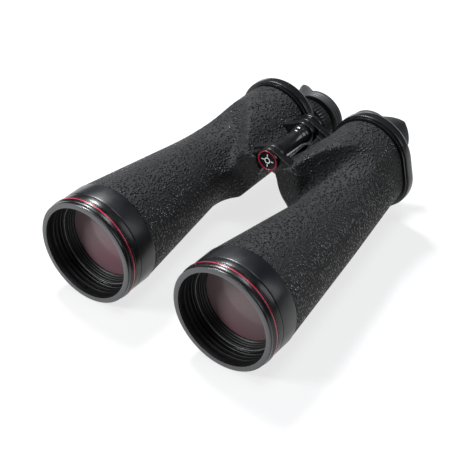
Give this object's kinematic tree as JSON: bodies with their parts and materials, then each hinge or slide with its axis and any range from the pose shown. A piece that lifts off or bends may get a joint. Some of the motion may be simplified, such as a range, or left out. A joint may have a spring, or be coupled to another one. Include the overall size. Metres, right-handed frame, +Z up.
{
  "type": "astronomy binoculars",
  "caption": "Large Porro-prism binoculars for night-sky viewing: two tapered barrels on a central hinge, each eyepiece focusing by its own ring.",
  "frame": {"origin": "centre of the object's footprint, on the surface that the objective rings rest on", "axes": "+Y from the objectives to the eyepieces along the optical axes, +Z up, +X to the user's left barrel"},
  "size_m": [0.2344, 0.297, 0.1012],
  "materials": {
    "hood_black": "black enamel on turned aluminium, satin",
    "collar_black": "black enamel, semi-gloss",
    "casting_black": "black baked paint on a casting",
    "cover_black": "black baked paint, semi-gloss",
    "barrel_black": "black anodised, matt",
    "ring_black": "black anodised, ribbed",
    "hinge_black": "black enamel, satin",
    "cap_black": "black gloss enamel",
    "shaft_steel": "turned steel",
    "spring_steel": "spring steel",
    "screw_steel": "blackened steel",
    "red_ring": "crimson, gloss",
    "covering": "pebbled black covering",
    "coated_glass": "coated optical glass",
    "plain_glass": "polished optical glass",
    "prism_glass": "polished optical glass",
    "eyecup_rubber": "soft black rubber",
    "seal_rubber": "black nitrile"
  },
  "bodies": {
    "left_half": {"left_objective_hood": "hood_black", "left_hood_red_ring": "red_ring", "left_objective_retainer": "barrel_black", "left_front_objective_lens": "coated_glass", "left_lens_spacer": "barrel_black", "left_rear_objective_lens": "plain_glass", "left_objective_cell": "barrel_black", "left_objective_seal": "seal_rubber", "left_objective_tube": "collar_black", "left_body_covering": "covering", "left_prism_housing": "casting_black", "left_prism_shelf": "barrel_black", "left_front_prism": "prism_glass", "left_rear_prism": "prism_glass", "left_prism_clamps": "spring_steel", "left_cover_gasket": "seal_rubber", "left_rear_cover": "cover_black", "left_cover_screws": "screw_steel", "left_eyepiece_guide": "barrel_black", "hinge_shaft": "shaft_steel", "hinge_tube": "hinge_black", "hinge_nut": "hinge_black"},
    "right_half": {"right_objective_hood": "hood_black", "right_hood_red_ring": "red_ring", "right_objective_retainer": "barrel_black", "right_front_objective_lens": "coated_glass", "right_lens_spacer": "barrel_black", "right_rear_objective_lens": "plain_glass", "right_objective_cell": "barrel_black", "right_objective_seal": "seal_rubber", "right_objective_tube": "collar_black", "right_body_covering": "covering", "right_prism_housing": "casting_black", "right_prism_shelf": "barrel_black", "right_front_prism": "prism_glass", "right_rear_prism": "prism_glass", "right_prism_clamps": "spring_steel", "right_cover_gasket": "seal_rubber", "right_rear_cover": "cover_black", "right_cover_screws": "screw_steel", "right_eyepiece_guide": "barrel_black"},
    "left_focus_ring": {"left_focus_ring": "ring_black"},
    "left_eyepiece": {"left_eyepiece_tube": "barrel_black", "left_field_lens": "plain_glass", "left_eye_lens": "coated_glass", "left_eyepiece_spacer": "barrel_black", "left_eyepiece_retainer": "barrel_black"},
    "left_eyecup": {"left_eyecup": "eyecup_rubber"},
    "right_focus_ring": {"right_focus_ring": "ring_black"},
    "right_eyepiece": {"right_eyepiece_tube": "barrel_black", "right_field_lens": "plain_glass", "right_eye_lens": "coated_glass", "right_eyepiece_spacer": "barrel_black", "right_eyepiece_retainer": "barrel_black"},
    "right_eyecup": {"right_eyecup": "eyecup_rubber"},
    "hinge_cap": {"hinge_cap": "cap_black", "cap_red_ring": "red_ring"}
  },
  "joints": [
    {"name": "interpupillary_hinge", "type": "hinge", "parent": "left_half", "child": "right_half", "pos_m": [0, 0.0465, 0.0826], "axis": [0, 1, 0], "range_deg": [-2.9, 37]},
    {"name": "left_focus_turn", "type": "hinge", "parent": "left_half", "child": "left_focus_ring", "pos_m": [0.0287, 0.1176, 0.055], "axis": [0, 1, 0], "range_deg": [-150, 150]},
    {"name": "left_focus_slide", "type": "slide", "parent": "left_half", "child": "left_eyepiece", "axis": [0, 1, 0], "range_m": [-0.003, 0.003]},
    {"name": "left_eyecup_turn", "type": "hinge", "parent": "left_eyepiece", "child": "left_eyecup", "pos_m": [0.0287, 0.1344, 0.055], "axis": [0, 1, 0], "range_deg": [-45, 45]},
    {"name": "right_focus_turn", "type": "hinge", "parent": "right_half", "child": "right_focus_ring", "pos_m": [-0.0287, 0.1176, 0.055], "axis": [0, 1, 0], "range_deg": [-150, 150]},
    {"name": "right_focus_slide", "type": "slide", "parent": "right_half", "child": "right_eyepiece", "axis": [0, 1, 0], "range_m": [-0.003, 0.003]},
    {"name": "right_eyecup_turn", "type": "hinge", "parent": "right_eyepiece", "child": "right_eyecup", "pos_m": [-0.0287, 0.1344, 0.055], "axis": [0, 1, 0], "range_deg": [-45, 45]},
    {"name": "cap_slide", "type": "slide", "parent": "left_half", "child": "hinge_cap", "axis": [0, -1, 0], "range_m": [0, 0.03]}
  ],
  "couplings": [
    {"joint": "left_focus_turn", "follows": "left_focus_slide", "rad_per_m": 872},
    {"joint": "right_focus_turn", "follows": "right_focus_slide", "rad_per_m": 872}
  ]
}
